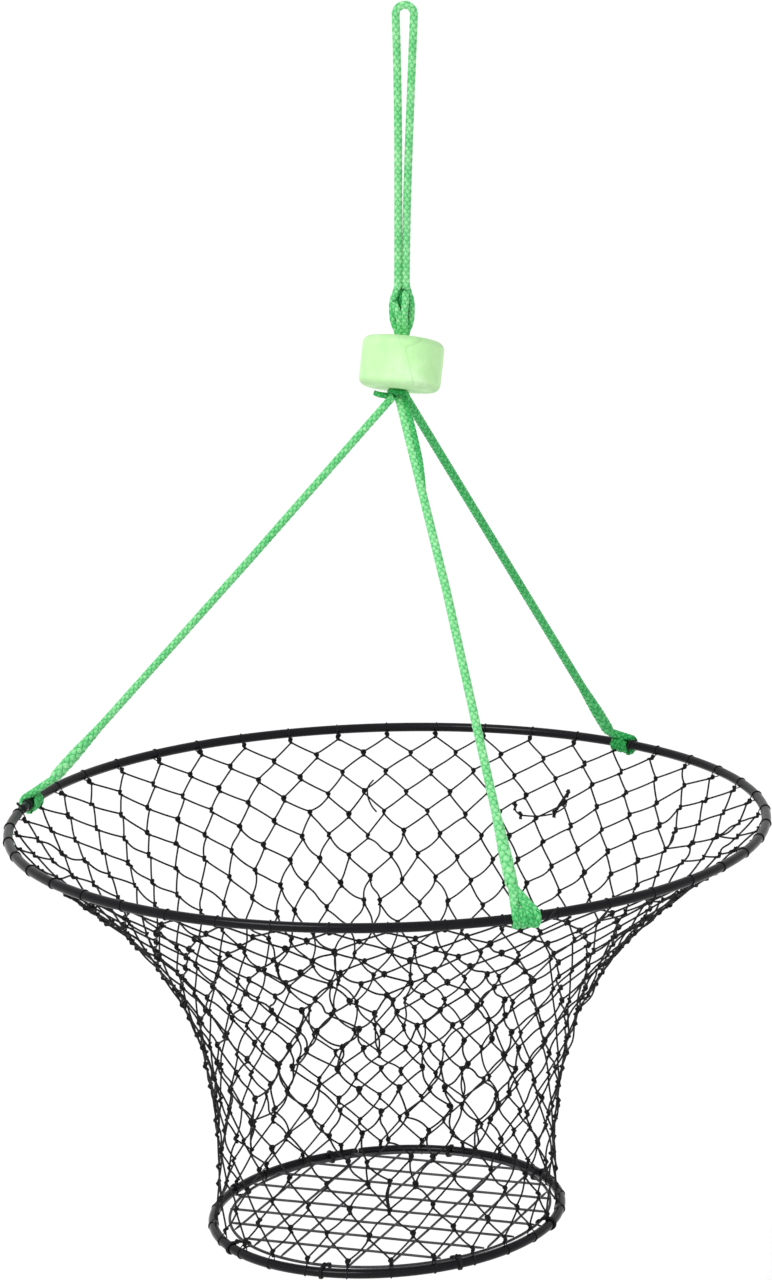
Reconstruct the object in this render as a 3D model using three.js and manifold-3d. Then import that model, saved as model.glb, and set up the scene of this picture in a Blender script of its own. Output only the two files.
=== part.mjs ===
// Folding crab trap: two hoops joined by a net wall, a wire mesh floor, and a three-legged rope
// bridle that comes together under a foam float and ends in a carry loop.
// Millimetres, +Z up. The origin is where a hook bears on the inside top of the carry loop, and
// everything hangs below it.
import * as THREE from 'three';
import { mergeVertices } from 'three/addons/utils/BufferGeometryUtils.js';
import Module from 'manifold-3d';

// ---------- driving dimensions ----------
const gap = 0.3;                    // air between solids that touch in the real trap

const hangToUpperHoop = 800;        // hanging point down to the centre plane of the upper hoop
const basketDepth = 411.3;          // centre plane of the upper hoop down to the lower hoop's
const basketShift = -17;            // the basket hangs this far to one side of the hook
const upperHoopSlope = 0.0257;      // the basket hangs askew: rise towards +X, in mm per mm
const lowerHoopSlope = 0.0594;

const upperHoopRadius = 376.25;     // to the centre of the section: 762 mm across outside
const lowerHoopRadius = 176.8;      // 363 mm across outside
const sleeveRadius = 4.9;           // corners of the ten-sided section, 9.5 mm wire on average
const sleeveBore = 3.5;             // corners of the six-sided bore
const rodRadius = 3.1;              // corners of the six-sided steel core
const sleeveSides = 10;
const coreSides = 6;
const upperHoopSteps = 72;
const lowerHoopSteps = 48;
const seamWidth = 1.5;              // butt seam where the ends of the sleeve meet
const upperSeamAngle = 170;         // degrees anticlockwise from +X, seen from above
const lowerSeamAngle = 100;

const rimRadius = 163;              // ring round the wire mesh floor
const rimWire = 1.5;
const rimShift = [3, 3];            // the floor is laced in a little off centre
const meshWire = 1.2;
const meshTurn = -23;               // degrees, direction of the upper wires from +X
const wireCount = 8;                // in each of the two layers
const upperWirePitch = 36.2;
const upperWireStart = -119.6;      // offset of a layer's first wire from the basket's axis
const lowerWirePitch = 38.2;
const lowerWireStart = -140.8;

const twineSize = 1.4;              // thickness of a lashing
const tieWidth = 3;
const tieAngles = [25, 67.5, 110, 152.5, 209, 249, 293.5, 337.5];   // clear of the wires' ends

const bandCount = 8;
const bandTop = 11;                 // the wall starts this far below the upper hoop's centre
const bandBottom = 402.8;
const netThickness = 1.2;
const bandSteps = 48;
const waistRadius = 167.5;

const ropeRadius = 3.75;
const loopRopeRadius = 3.5;
const loopHalfWidth = 8.75;         // to the centre of a strand, at the top of the loop
const loopFootHalfWidth = 3.8;
const knotCentre = [-2.4, 5, -292.5];
const knotHalfHeight = 23;
const knotRadius = 12;

const floatCentre = [-2.6, 0, -342.5];
const floatAxis = [0.1105, 0.241, 0.9642];
const floatRadius = 40;
const floatHeight = 50;
const floatEdge = 8;
const boreRadius = 9;
const coreRopeRadius = 8.4;
const stopperRadius = 17;
const stopperHeight = 13;

const lashingRadius = 9.4;
const lashingBore = 5.9;
const lashingLength = 28;
const lashingInset = 0.3;           // the hoop curves inwards through the straight lashing
const spliceRadius = 5.4;
const spliceLength = 62;

// Azimuths are degrees from -Y towards +X. footOffset runs along the hoop that way, from a
// lashing's middle to its leg's foot, and start is where the leg leaves the knot under the float.
const legs = [
  { name: 'left', azimuth: -106, footOffset: -8, start: [-16.7, -9.6, -382.1] },
  { name: 'middle', azimuth: 19.4, footOffset: -4.5, start: [1, -14.9, -382.1] },
  { name: 'right', azimuth: 138.4, footOffset: 6, start: [5.6, -1.2, -382.1] },
];

// ---------- materials ----------
const vinyl = new THREE.MeshStandardMaterial({ color: 0x3a3940, roughness: 0.35, metalness: 0 });
const steel = new THREE.MeshStandardMaterial({ color: 0x8b8d90, roughness: 0.4, metalness: 0.9 });
const meshCoating = new THREE.MeshStandardMaterial({ color: 0x35343a, roughness: 0.5, metalness: 0.2 });
const netTwine = new THREE.MeshStandardMaterial({ color: 0x1c1b1f, roughness: 0.85, metalness: 0 });
const greenRope = new THREE.MeshStandardMaterial({ color: 0x52c765, roughness: 0.8, metalness: 0 });
const foam = new THREE.MeshStandardMaterial({ color: 0xcdf2c0, roughness: 0.7, metalness: 0 });

// ---------- helpers ----------
const radians = THREE.MathUtils.degToRad;
const upperHoopZ = -hangToUpperHoop;
const lowerHoopZ = upperHoopZ - basketDepth;
const up = new THREE.Vector3(0, 0, 1);

const trap = new THREE.Group();
const basket = new THREE.Group();
basket.position.set(basketShift, 0, 0);
trap.add(basket);

function addMesh(parent, name, geometry, material) {
  const mesh = new THREE.Mesh(geometry, material);
  mesh.name = name;
  parent.add(mesh);
  return mesh;
}

// Turns a half section about Z. The points are [radius, height], counter-clockwise.
function turned(points, steps) {
  const profile = points.map(([radius, height]) => new THREE.Vector2(radius, height));
  const geometry = new THREE.LatheGeometry(profile, steps);
  geometry.rotateX(Math.PI / 2);
  return geometry;
}

function polygon(radius, sides) {
  const corners = [];
  for (let i = 0; i < sides; i += 1) {
    const angle = (2 * Math.PI * i) / sides;
    corners.push(new THREE.Vector2(radius * Math.cos(angle), radius * Math.sin(angle)));
  }
  return new THREE.Shape(corners);
}

function tube(curve, radius, sides, steps) {
  return new THREE.ExtrudeGeometry(polygon(radius, sides), {
    steps,
    extrudePath: curve,
    bevelEnabled: false,
  });
}

function rod(radius, sides, length) {
  const geometry = new THREE.CylinderGeometry(radius, radius, length, sides);
  geometry.rotateX(Math.PI / 2);
  return geometry;
}

// A point on a hoop of the basket, by azimuth from -Y towards +X.
function onHoop(radius, azimuth, z) {
  const angle = radians(azimuth);
  return new THREE.Vector3(radius * Math.sin(angle), -radius * Math.cos(angle), z);
}

// The hoops don't hang quite level. Every level of the basket slopes up towards +X, more so lower
// down, and the floor, the net wall and the lashings slope with it.
function askewRise(x, z) {
  const share = (upperHoopZ - z) / basketDepth;
  const slope = upperHoopSlope + (lowerHoopSlope - upperHoopSlope) * share;
  return slope * (x - basketShift);
}

// Bakes a basket mesh's place into its geometry and hangs it askew.
function hangAskew(mesh) {
  mesh.updateWorldMatrix(true, false);
  mesh.geometry.applyMatrix4(mesh.matrixWorld);
  const places = mesh.geometry.attributes.position;
  for (let i = 0; i < places.count; i += 1) {
    places.setZ(i, places.getZ(i) + askewRise(places.getX(i), places.getZ(i)));
  }
  mesh.geometry.computeVertexNormals();
  mesh.position.set(0, 0, 0);
  mesh.quaternion.identity();
  trap.add(mesh);
}

// ---------- booleans ----------
const wasm = await Module();
wasm.setup();

function solid(geometry) {
  const bare = geometry.clone();
  bare.deleteAttribute('normal');
  bare.deleteAttribute('uv');
  const merged = mergeVertices(bare, 1e-4);
  return new wasm.Manifold(new wasm.Mesh({
    numProp: 3,
    vertProperties: Float32Array.from(merged.attributes.position.array),
    triVerts: Uint32Array.from(merged.index.array),
  }));
}

function geometryOf(manifold) {
  const mesh = manifold.getMesh();
  const geometry = new THREE.BufferGeometry();
  geometry.setAttribute('position', new THREE.BufferAttribute(mesh.vertProperties, 3));
  geometry.setIndex(new THREE.BufferAttribute(mesh.triVerts, 1));
  geometry.computeVertexNormals();
  return geometry;
}

// ---------- hoops: a steel rod in a vinyl sleeve whose ends meet at a butt seam ----------
function sleeveGeometry(radius, steps, seamAngle) {
  const outside = solid(new THREE.TorusGeometry(radius, sleeveRadius, sleeveSides, steps));
  const inside = solid(new THREE.TorusGeometry(radius, sleeveBore, coreSides, steps));
  const seam = new THREE.BoxGeometry(4 * sleeveRadius, seamWidth, 4 * sleeveRadius);
  seam.translate(radius, 0, 0);
  seam.rotateZ(radians(seamAngle));
  return geometryOf(outside.subtract(inside).subtract(solid(seam)));
}

function addHoop(name, radius, z, steps, seamAngle) {
  const core = addMesh(basket, `${name}_rod`, new THREE.TorusGeometry(radius, rodRadius, coreSides, steps), steel);
  const sleeve = addMesh(basket, `${name}_sleeve`, sleeveGeometry(radius, steps, seamAngle), vinyl);
  core.position.z = z;
  sleeve.position.z = z;
}

addHoop('upper_hoop', upperHoopRadius, upperHoopZ, upperHoopSteps, upperSeamAngle);
addHoop('lower_hoop', lowerHoopRadius, lowerHoopZ, lowerHoopSteps, lowerSeamAngle);

// ---------- wire mesh floor ----------
const floor = new THREE.Group();
floor.position.z = lowerHoopZ;
basket.add(floor);

const rim = addMesh(floor, 'floor_rim', new THREE.TorusGeometry(rimRadius, rimWire, coreSides, lowerHoopSteps), meshCoating);
rim.position.set(rimShift[0], rimShift[1], 0);

// Adds one straight wire, square to the direction in which the wires are spaced.
function addWire(name, turn, offset, reach, z) {
  const along = new THREE.Vector3(Math.cos(radians(turn)), Math.sin(radians(turn)), 0);
  const across = new THREE.Vector3(-along.y, along.x, 0);
  const centre = new THREE.Vector3(rimShift[0], rimShift[1], 0);
  const fromCentre = offset - across.dot(centre);
  const halfLength = Math.sqrt(reach ** 2 - (Math.abs(fromCentre) + meshWire) ** 2);
  const wire = addMesh(floor, name, rod(meshWire, coreSides, 2 * halfLength), meshCoating);
  wire.quaternion.setFromUnitVectors(up, along);
  wire.position.copy(along.clone().multiplyScalar(along.dot(centre)));
  wire.position.addScaledVector(across, offset);
  wire.position.z = z;
}

const lowerWireZ = gap;
const upperWireZ = lowerWireZ + 2 * meshWire + gap;
const insideRim = rimRadius - rimWire - gap;
for (let i = 0; i < wireCount; i += 1) {
  const upperOffset = upperWireStart + i * upperWirePitch;
  const lowerOffset = lowerWireStart + i * lowerWirePitch;
  addWire(`floor_wire_across_${i + 1}`, meshTurn, upperOffset, rimRadius + rimWire, upperWireZ);
  addWire(`floor_wire_along_${i + 1}`, meshTurn + 90, lowerOffset, insideRim, lowerWireZ);
}

// ---------- twine lashings that tie the floor's rim to the lower hoop ----------
// The outline round two circles on one line: radius a at 0, radius b at -span.
function aroundTwo(path, a, b, span, points) {
  const lean = Math.acos((a - b) / span);
  for (let i = 0; i <= points; i += 1) {
    const angle = -(Math.PI - lean) + (2 * (Math.PI - lean) * i) / points;
    path.push(new THREE.Vector2(a * Math.cos(angle), a * Math.sin(angle)));
  }
  for (let i = 0; i <= points; i += 1) {
    const angle = Math.PI - lean + (2 * lean * i) / points;
    path.push(new THREE.Vector2(-span + b * Math.cos(angle), b * Math.sin(angle)));
  }
  return path;
}

function addTie(name, azimuth) {
  const angle = radians(azimuth);
  const outward = new THREE.Vector2(Math.cos(angle), Math.sin(angle));
  const shift = new THREE.Vector2(rimShift[0], rimShift[1]);
  const along = shift.dot(outward);
  const rimDistance = along + Math.sqrt(rimRadius ** 2 - shift.lengthSq() + along ** 2);
  const span = lowerHoopRadius - rimDistance;
  const clear = 2 * gap;
  const outline = new THREE.Shape(
    aroundTwo([], sleeveRadius + clear + twineSize, rimWire + clear + twineSize, span, 8));
  outline.holes.push(new THREE.Path(aroundTwo([], sleeveRadius + clear, rimWire + clear, span, 8)));
  const geometry = new THREE.ExtrudeGeometry(outline, { depth: tieWidth, bevelEnabled: false });
  geometry.translate(0, 0, -tieWidth / 2);
  geometry.rotateX(Math.PI / 2);
  geometry.translate(lowerHoopRadius, 0, 0);
  geometry.rotateZ(angle);
  addMesh(floor, name, geometry, netTwine);
}

tieAngles.forEach((azimuth, i) => addTie(`floor_tie_${i + 1}`, azimuth));

// ---------- net wall: thin bands from the upper hoop down to the lower one ----------
// Radius of the wall at a depth below the upper hoop. It draws in under the hoop, has its waist
// near the bottom, and flares again to meet the lower hoop.
function netRadius(depth) {
  const drawIn = 0.0062 * depth + 0.0000195 * depth ** 2;
  const shoulder = (upperHoopRadius - waistRadius) * Math.exp(-drawIn);
  const flare = (lowerHoopRadius - waistRadius) * Math.exp((depth - basketDepth) / 25);
  return waistRadius + shoulder + flare;
}

const bandPitch = (bandBottom - bandTop) / bandCount;
for (let i = 0; i < bandCount; i += 1) {
  const top = bandTop + i * bandPitch;
  const bottom = top + bandPitch - gap;
  const profile = [
    [netRadius(bottom) - netThickness, -bottom],
    [netRadius(bottom), -bottom],
    [netRadius(top), -top],
    [netRadius(top) - netThickness, -top],
    [netRadius(bottom) - netThickness, -bottom],
  ];
  const band = addMesh(basket, `net_band_${i + 1}`, turned(profile, bandSteps), netTwine);
  band.position.z = upperHoopZ;
}

// ---------- bridle ----------
function addLashing(leg) {
  const half = lashingLength / 2;
  const profile = [
    [lashingBore, -half],
    [lashingRadius, -half],
    [lashingRadius, half],
    [lashingBore, half],
    [lashingBore, -half],
  ];
  const geometry = turned(profile, 12);
  const lashing = addMesh(basket, `hoop_lashing_${leg.name}`, geometry, greenRope);
  const angle = radians(leg.azimuth);
  lashing.quaternion.setFromUnitVectors(up, new THREE.Vector3(Math.cos(angle), Math.sin(angle), 0));
  lashing.position.copy(onHoop(upperHoopRadius - lashingInset, leg.azimuth, upperHoopZ));
}

// Where a leg comes down on its lashing, in the trap's own frame.
function footOf(leg) {
  const turn = (leg.footOffset * 180) / (Math.PI * upperHoopRadius);
  const foot = onHoop(upperHoopRadius, leg.azimuth + turn, upperHoopZ);
  foot.x += basketShift;
  foot.z += askewRise(foot.x, foot.z);
  return foot;
}

function addLeg(leg) {
  const start = new THREE.Vector3(...leg.start);
  const foot = footOf(leg);
  const towardsFloat = start.clone().sub(foot).normalize();
  const spliceFoot = foot.clone().addScaledVector(towardsFloat, lashingRadius + 0.8);
  const legEnd = spliceFoot.clone().addScaledVector(towardsFloat, spliceLength + gap);
  const route = new THREE.LineCurve3(start, legEnd);
  addMesh(trap, `bridle_leg_${leg.name}`, tube(route, ropeRadius, 8, 20), greenRope);

  const splice = turned([
    [0, 0],
    [spliceRadius, 0],
    [spliceRadius, 0.7 * spliceLength],
    [ropeRadius, spliceLength],
    [0, spliceLength],
  ], 8);
  const mesh = addMesh(trap, `leg_splice_${leg.name}`, splice, greenRope);
  mesh.quaternion.setFromUnitVectors(up, towardsFloat);
  mesh.position.copy(spliceFoot);
}

for (const leg of legs) {
  addLashing(leg);
  addLeg(leg);
}

// ---------- carry loop and the knot above the float ----------
const knotTop = knotCentre[2] + knotHalfHeight;
const strandFootZ = knotTop + gap;
const bendZ = loopRopeRadius - loopHalfWidth;    // the inside of the bend is at the origin
const strandShare = 30 / 36;                     // of the steps; the rest go round the bend

// Up one strand, round the bend and down the other. Steps are shorter in the bend.
class LoopRoute extends THREE.Curve {
  getUtoTmapping(u) {
    return u;
  }

  getPoint(t, target = new THREE.Vector3()) {
    const side = t < 0.5 ? -1 : 1;
    const climbed = 2 * Math.min(t, 1 - t);
    if (climbed > strandShare) {
      const angle = (Math.PI / 2) * ((climbed - strandShare) / (1 - strandShare));
      const x = side * loopHalfWidth * Math.cos(angle);
      return target.set(x, 0, bendZ + loopHalfWidth * Math.sin(angle));
    }
    const rise = climbed / strandShare;
    const spread = loopFootHalfWidth + (loopHalfWidth - loopFootHalfWidth) * rise ** 2;
    const centre = knotCentre[0] * (1 - rise * rise * (3 - 2 * rise));
    const y = knotCentre[1] * (1 - rise);
    return target.set(centre + side * spread, y, strandFootZ + rise * (bendZ - strandFootZ));
  }
}

addMesh(trap, 'carry_loop', tube(new LoopRoute(), loopRopeRadius, 8, 72), greenRope);

const knot = addMesh(trap, 'loop_knot', turned([
  [0, -knotHalfHeight],
  [0.62 * knotRadius, -knotHalfHeight],
  [0.9 * knotRadius, -0.5 * knotHalfHeight],
  [knotRadius, 0.1 * knotHalfHeight],
  [0.85 * knotRadius, 0.6 * knotHalfHeight],
  [0.62 * knotRadius, knotHalfHeight],
  [0, knotHalfHeight],
], 12), greenRope);
knot.position.set(...knotCentre);

// ---------- float, the ropes through it and the stopper knot under it ----------
const floatGroup = new THREE.Group();
floatGroup.position.set(...floatCentre);
floatGroup.quaternion.setFromUnitVectors(up, new THREE.Vector3(...floatAxis).normalize());
trap.add(floatGroup);

function floatProfile() {
  const half = floatHeight / 2;
  const points = [[boreRadius, -half], [floatRadius - floatEdge, -half]];
  const roundSteps = 4;
  for (let i = 1; i <= roundSteps; i += 1) {
    const angle = -Math.PI / 2 + (Math.PI / 2) * (i / roundSteps);
    points.push([
      floatRadius - floatEdge + floatEdge * Math.cos(angle),
      -half + floatEdge + floatEdge * Math.sin(angle),
    ]);
  }
  for (let i = 0; i <= roundSteps; i += 1) {
    const angle = (Math.PI / 2) * (i / roundSteps);
    points.push([
      floatRadius - floatEdge + floatEdge * Math.cos(angle),
      half - floatEdge + floatEdge * Math.sin(angle),
    ]);
  }
  points.push([boreRadius, half], [boreRadius, -half]);
  return points;
}

addMesh(floatGroup, 'float', turned(floatProfile(), 24), foam);

const coreTop = floatHeight / 2 + 0.2;
const core = addMesh(floatGroup, 'rope_core', rod(coreRopeRadius, 12, coreTop + floatHeight / 2), greenRope);
core.position.z = (coreTop - floatHeight / 2) / 2;

const stopper = addMesh(floatGroup, 'stopper_knot', turned([
  [0, -stopperHeight],
  [0.6 * stopperRadius, -stopperHeight],
  [stopperRadius, -0.55 * stopperHeight],
  [0.9 * stopperRadius, -0.1 * stopperHeight],
  [0.5 * stopperRadius, 0],
  [0, 0],
], 12), greenRope);
stopper.position.z = -floatHeight / 2 - gap;

for (const mesh of basket.getObjectsByProperty('isMesh', true)) {
  hangAskew(mesh);
}
trap.remove(basket);

export default trap;
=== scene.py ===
import math

import bpy
import numpy as np
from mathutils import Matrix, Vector


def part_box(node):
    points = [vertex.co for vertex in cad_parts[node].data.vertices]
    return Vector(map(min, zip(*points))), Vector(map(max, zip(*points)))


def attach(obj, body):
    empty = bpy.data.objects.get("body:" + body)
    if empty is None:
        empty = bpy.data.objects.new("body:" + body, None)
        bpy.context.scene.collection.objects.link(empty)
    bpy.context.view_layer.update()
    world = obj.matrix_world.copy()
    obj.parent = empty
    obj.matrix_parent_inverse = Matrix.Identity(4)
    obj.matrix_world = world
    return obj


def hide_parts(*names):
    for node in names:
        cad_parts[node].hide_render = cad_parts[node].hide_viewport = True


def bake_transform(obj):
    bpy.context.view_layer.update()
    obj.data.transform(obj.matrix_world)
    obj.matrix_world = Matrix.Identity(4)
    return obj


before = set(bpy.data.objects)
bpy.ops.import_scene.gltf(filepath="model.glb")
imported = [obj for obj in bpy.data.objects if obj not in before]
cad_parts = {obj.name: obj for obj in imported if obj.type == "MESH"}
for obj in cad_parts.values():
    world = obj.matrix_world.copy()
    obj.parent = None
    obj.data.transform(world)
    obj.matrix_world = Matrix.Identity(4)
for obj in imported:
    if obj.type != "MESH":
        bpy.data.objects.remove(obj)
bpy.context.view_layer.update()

MM = 0.001

# ------------ places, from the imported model


def middle(node):
    low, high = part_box(node)
    return np.array((low + high) / 2)


def half_size(node):
    low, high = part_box(node)
    return np.array((high - low) / 2)


UPPER = middle("upper_hoop_sleeve")
LOWER = middle("lower_hoop_sleeve")
SLEEVE = 4.8 * MM  # radius of the hoops' vinyl sleeve
SLEEVE_CORNERS = 4.9 * MM  # the same in the frame, where it has ten sides
UPPER_RADIUS = half_size("upper_hoop_sleeve")[0] - SLEEVE_CORNERS
LOWER_RADIUS = half_size("lower_hoop_sleeve")[0] - SLEEVE_CORNERS
DEPTH = UPPER[2] - LOWER[2]
UPPER_SLOPE, LOWER_SLOPE = 0.0257, 0.0594  # the basket hangs askew: its levels rise to +X


def askew(points):
    """Hangs points of a level basket askew, as the frame's basket hangs."""
    points = np.array(points, float)
    share = (UPPER[2] - points[..., 2]) / DEPTH
    slope = UPPER_SLOPE + (LOWER_SLOPE - UPPER_SLOPE) * share
    points[..., 2] += slope * (points[..., 0] - UPPER[0])
    return points


def level(point):
    """The same point before the basket was hung askew."""
    x = point[0] - UPPER[0]
    change = (LOWER_SLOPE - UPPER_SLOPE) * x / DEPTH
    z = (point[2] - UPPER_SLOPE * x - change * UPPER[2]) / (1 - change)
    return np.array((point[0], point[1], z))


RIM = level(middle("floor_rim"))
RIM_WIRE = 1.5 * MM  # radius of the wire round the mesh floor
RIM_RADIUS = half_size("floor_rim")[0] - RIM_WIRE
SEAM_ANGLES = {"upper_hoop": 170, "lower_hoop": 100}  # degrees anticlockwise from +X

TWINE = 1.02 * MM  # radius of the net's twine
LOOP_ROPE = 3.5 * MM  # radius of the carry loop's rope in the frame
BRAID_PITCH = 3.6  # length of one turn of a strand, in diameters

# The bridle's legs, as in the frame but for the right foot, which stands 3 mm further along.
# Azimuths are degrees from -Y towards +X, and a foot's offset runs along the hoop that way. The
# doubled rope parts at the split's height above the hoop. Each leg's head is drawn a little aside
# by the knot above it. Sizes are radii with the strands' crowns.
# Shade is painted shade in a leg's rope colour: darkest on the right leg, which faces away from the key
# light.
LEGS = [
    {"name": "left", "azimuth": -106, "foot_offset": -8, "start": (-16.7, -9.6, -382.1),
     "split": 30, "aside": -2.6, "shade": -0.06, "size": 4.1},
    {"name": "middle", "azimuth": 19.4, "foot_offset": -4.5, "start": (1.0, -14.9, -382.1),
     "split": 30, "aside": -4.4, "shade": 0.0, "size": 4.5},
    {"name": "right", "azimuth": 138.4, "foot_offset": 9, "start": (5.6, -1.2, -382.1),
     "split": 18, "aside": 0, "shade": -0.26, "size": 4.6},
]

FLOAT_CENTRE = middle("float")
FLOAT_AXIS = np.array((0.1105, 0.241, 0.9642))
FLOAT_RADIUS = 40 * MM
FLOAT_HEIGHT = 50 * MM
KNOT_CENTRE = middle("loop_knot")

rng = np.random.default_rng(7)

# ------------ lines


def unit(v):
    return v / np.linalg.norm(v, axis=-1, keepdims=True)


def lengths_along(points):
    steps = np.linalg.norm(np.diff(points, axis=0), axis=1)
    return np.concatenate([[0], np.cumsum(steps)])


def resampled(points, spacing):
    """The same line with its points evenly spaced."""
    points = np.asarray(points, float)
    along = lengths_along(points)
    count = max(3, int(round(along[-1] / spacing)) + 1)
    at = np.linspace(0, along[-1], count)
    return np.column_stack([np.interp(at, along, points[:, k]) for k in range(3)])


def smoothed(line, passes):
    for _ in range(passes):
        line[1:-1] = 0.25 * line[:-2] + 0.5 * line[1:-1] + 0.25 * line[2:]
    return line


def rounded(points, spacing, passes):
    """A line through the points with its corners worn round, evenly spaced."""
    return resampled(smoothed(resampled(points, spacing), passes), spacing)


def spline(points, per_span=8):
    """A Catmull-Rom line through a few given points."""
    p = np.asarray(points, float)
    p = np.vstack([2 * p[0] - p[1], p, 2 * p[-1] - p[-2]])
    t = np.linspace(0, 1, per_span, endpoint=False)[:, None]
    out = []
    for a, b, c, d in zip(p[:-3], p[1:-2], p[2:-1], p[3:]):
        out.append(0.5 * (2 * b + (c - a) * t + (2 * a - 5 * b + 4 * c - d) * t**2
                          + (3 * b - a - 3 * c + d) * t**3))
    out.append(p[-2][None])
    return np.vstack(out)


def carried_normals(tangents):
    """Normals carried along a line with the least twist."""
    normals = np.empty_like(tangents)
    n = np.eye(3)[np.argmin(np.abs(tangents[0]))]
    for i, t in enumerate(tangents):
        n = n - t * (n @ t)
        n = n / math.sqrt(n @ n)
        normals[i] = n
    return normals


# ------------ meshes made of many tubes


class Tubes:
    """Collects swept tubes and makes one mesh of them. Each has a tone from 0 to 1 for its material,
    one for the whole tube or one for each point, and its UVs run along it in millimetres and round
    it from 0 to 1."""

    def __init__(self):
        self.verts, self.quads, self.caps = [], [], []
        self.quad_uvs, self.cap_uvs, self.tones = [], [], []
        self.count = 0

    def add(self, points, radius, sides=6, closed=False, tone=0.5, normals=None, flat=1.0):
        points = np.asarray(points, float)
        n = len(points)
        if closed:
            tangents = unit(np.roll(points, -1, 0) - np.roll(points, 1, 0))
        else:
            tangents = unit(np.gradient(points, axis=0))
        if normals is None:
            normals = carried_normals(tangents)
        sideways = np.cross(tangents, normals)
        radius = np.broadcast_to(np.asarray(radius, float), (n,))
        angles = 2 * math.pi * (np.arange(sides) + 0.5) / sides
        ring = (np.cos(angles)[None, :, None] * normals[:, None, :]
                + flat * np.sin(angles)[None, :, None] * sideways[:, None, :])
        self.verts.append((points[:, None, :] + radius[:, None, None] * ring).reshape(-1, 3))
        rings = n if closed else n - 1
        i = np.repeat(np.arange(rings), sides)
        j = np.tile(np.arange(sides), rings)
        i2 = (i + 1) % n
        j2 = (j + 1) % sides
        self.quads.append(self.count + np.column_stack(
            [i * sides + j, i * sides + j2, i2 * sides + j2, i2 * sides + j]))
        step = float(np.linalg.norm(points[1] - points[0])) / MM
        u, v = i * step, j / sides
        u2, v2 = u + step, v + 1 / sides
        self.quad_uvs.append(np.stack([u, v, u, v2, u2, v2, u2, v], axis=1).reshape(-1, 2))
        if not closed:
            self.caps.append([self.count + k for k in reversed(range(sides))])
            self.caps.append([self.count + (n - 1) * sides + k for k in range(sides)])
            self.cap_uvs.append(np.zeros((2 * sides, 2)))
        self.tones.append(np.repeat(np.broadcast_to(tone, (n,)), sides))
        self.count += n * sides

    def add_copies(self, template, matrices, tones):
        """Copies of another Tubes, each moved by a 3 by 4 matrix."""
        verts = np.concatenate(template.verts)
        quads = np.concatenate(template.quads)
        quad_uvs = np.concatenate(template.quad_uvs)
        for m, tone in zip(matrices, tones):
            self.verts.append(verts @ m[:, :3].T + m[:, 3])
            self.quads.append(quads + self.count)
            self.quad_uvs.append(quad_uvs)
            self.caps += [[self.count + k for k in cap] for cap in template.caps]
            self.cap_uvs += template.cap_uvs
            self.tones.append(np.full(len(verts), tone))
            self.count += len(verts)

    def make(self, name, material, body, replaces=(), slot=None, hung=None):
        """The object. With hung, its points are first moved by that function."""
        mesh = bpy.data.meshes.new(name)
        faces = np.concatenate(self.quads).tolist() + self.caps
        verts = np.concatenate(self.verts)
        if hung:
            verts = hung(verts)
        mesh.from_pydata(verts.tolist(), [], faces)
        uvs = np.concatenate(self.quad_uvs + self.cap_uvs)
        mesh.uv_layers.new(name="thread").data.foreach_set("uv", uvs.ravel())
        tone = mesh.attributes.new("tone", "FLOAT", "POINT")
        tone.data.foreach_set("value", np.concatenate(self.tones).astype(np.float32))
        mesh.shade_smooth()
        mesh.materials.append(material)
        return placed(name, mesh, body, replaces)


def placed(name, mesh, body, replaces=()):
    """A new object for a mesh. With no body, the caller blends or parents it."""
    piece = bpy.data.objects.new(name, mesh)
    bpy.context.scene.collection.objects.link(piece)
    if body:
        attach(piece, body)
    if replaces:
        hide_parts(*replaces)
    return piece


# ------------ materials


class Nodes:
    """A short way to write a material's nodes."""

    def __init__(self, name):
        self.material = bpy.data.materials.new(name)
        self.material.use_nodes = True
        self.tree = self.material.node_tree
        self.shader = self.tree.nodes["Principled BSDF"]

    def add(self, kind, links=None, **settings):
        node = self.tree.nodes.new("ShaderNode" + kind)
        for key, value in settings.items():
            setattr(node, key, value)
        for socket, value in (links or {}).items():
            self.set(node.inputs[socket], value)
        return node

    def set(self, socket, value):
        if isinstance(value, bpy.types.NodeSocket):
            self.tree.links.new(value, socket)
        else:
            socket.default_value = value

    def shade(self, **values):
        for key, value in values.items():
            self.set(self.shader.inputs[key.replace("_", " ")], value)
        return self.material

    def stretched(self, source, scale):
        mapping = self.add("Mapping", {"Vector": source})
        mapping.inputs["Scale"].default_value = scale
        return mapping.outputs[0]

    def noise(self, vector, scale, detail=3.0, roughness=0.5):
        node = self.add("TexNoise", {"Vector": vector, "Scale": scale, "Detail": detail,
                                     "Roughness": roughness})
        return node.outputs["Fac"]

    def ramp(self, value, stops):
        node = self.add("ValToRGB", {"Fac": value})
        elements = node.color_ramp.elements
        while len(elements) < len(stops):
            elements.new(0.5)
        for element, (position, colour) in zip(elements, stops):
            element.position = position
            element.color = (*colour, 1)
        return node.outputs["Color"]

    def between(self, value, low, high):
        node = self.add("MapRange", {"Value": value, "To Min": low, "To Max": high})
        return node.outputs["Result"]

    def math(self, operation, a, b=0.0):
        node = self.add("Math", operation=operation)
        self.set(node.inputs[0], a)
        self.set(node.inputs[1], b)
        return node.outputs[0]

    def bump(self, height, strength, distance, normal=None):
        links = {"Height": height, "Strength": strength, "Distance": distance}
        if normal is not None:
            links["Normal"] = normal
        return self.add("Bump", links).outputs["Normal"]

    def position(self):
        return self.add("TexCoord").outputs["Object"]

    def thread_uv(self):
        return self.add("UVMap", uv_map="thread").outputs["UV"]

    def tone(self):
        return self.add("Attribute", attribute_name="tone").outputs["Fac"]


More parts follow.
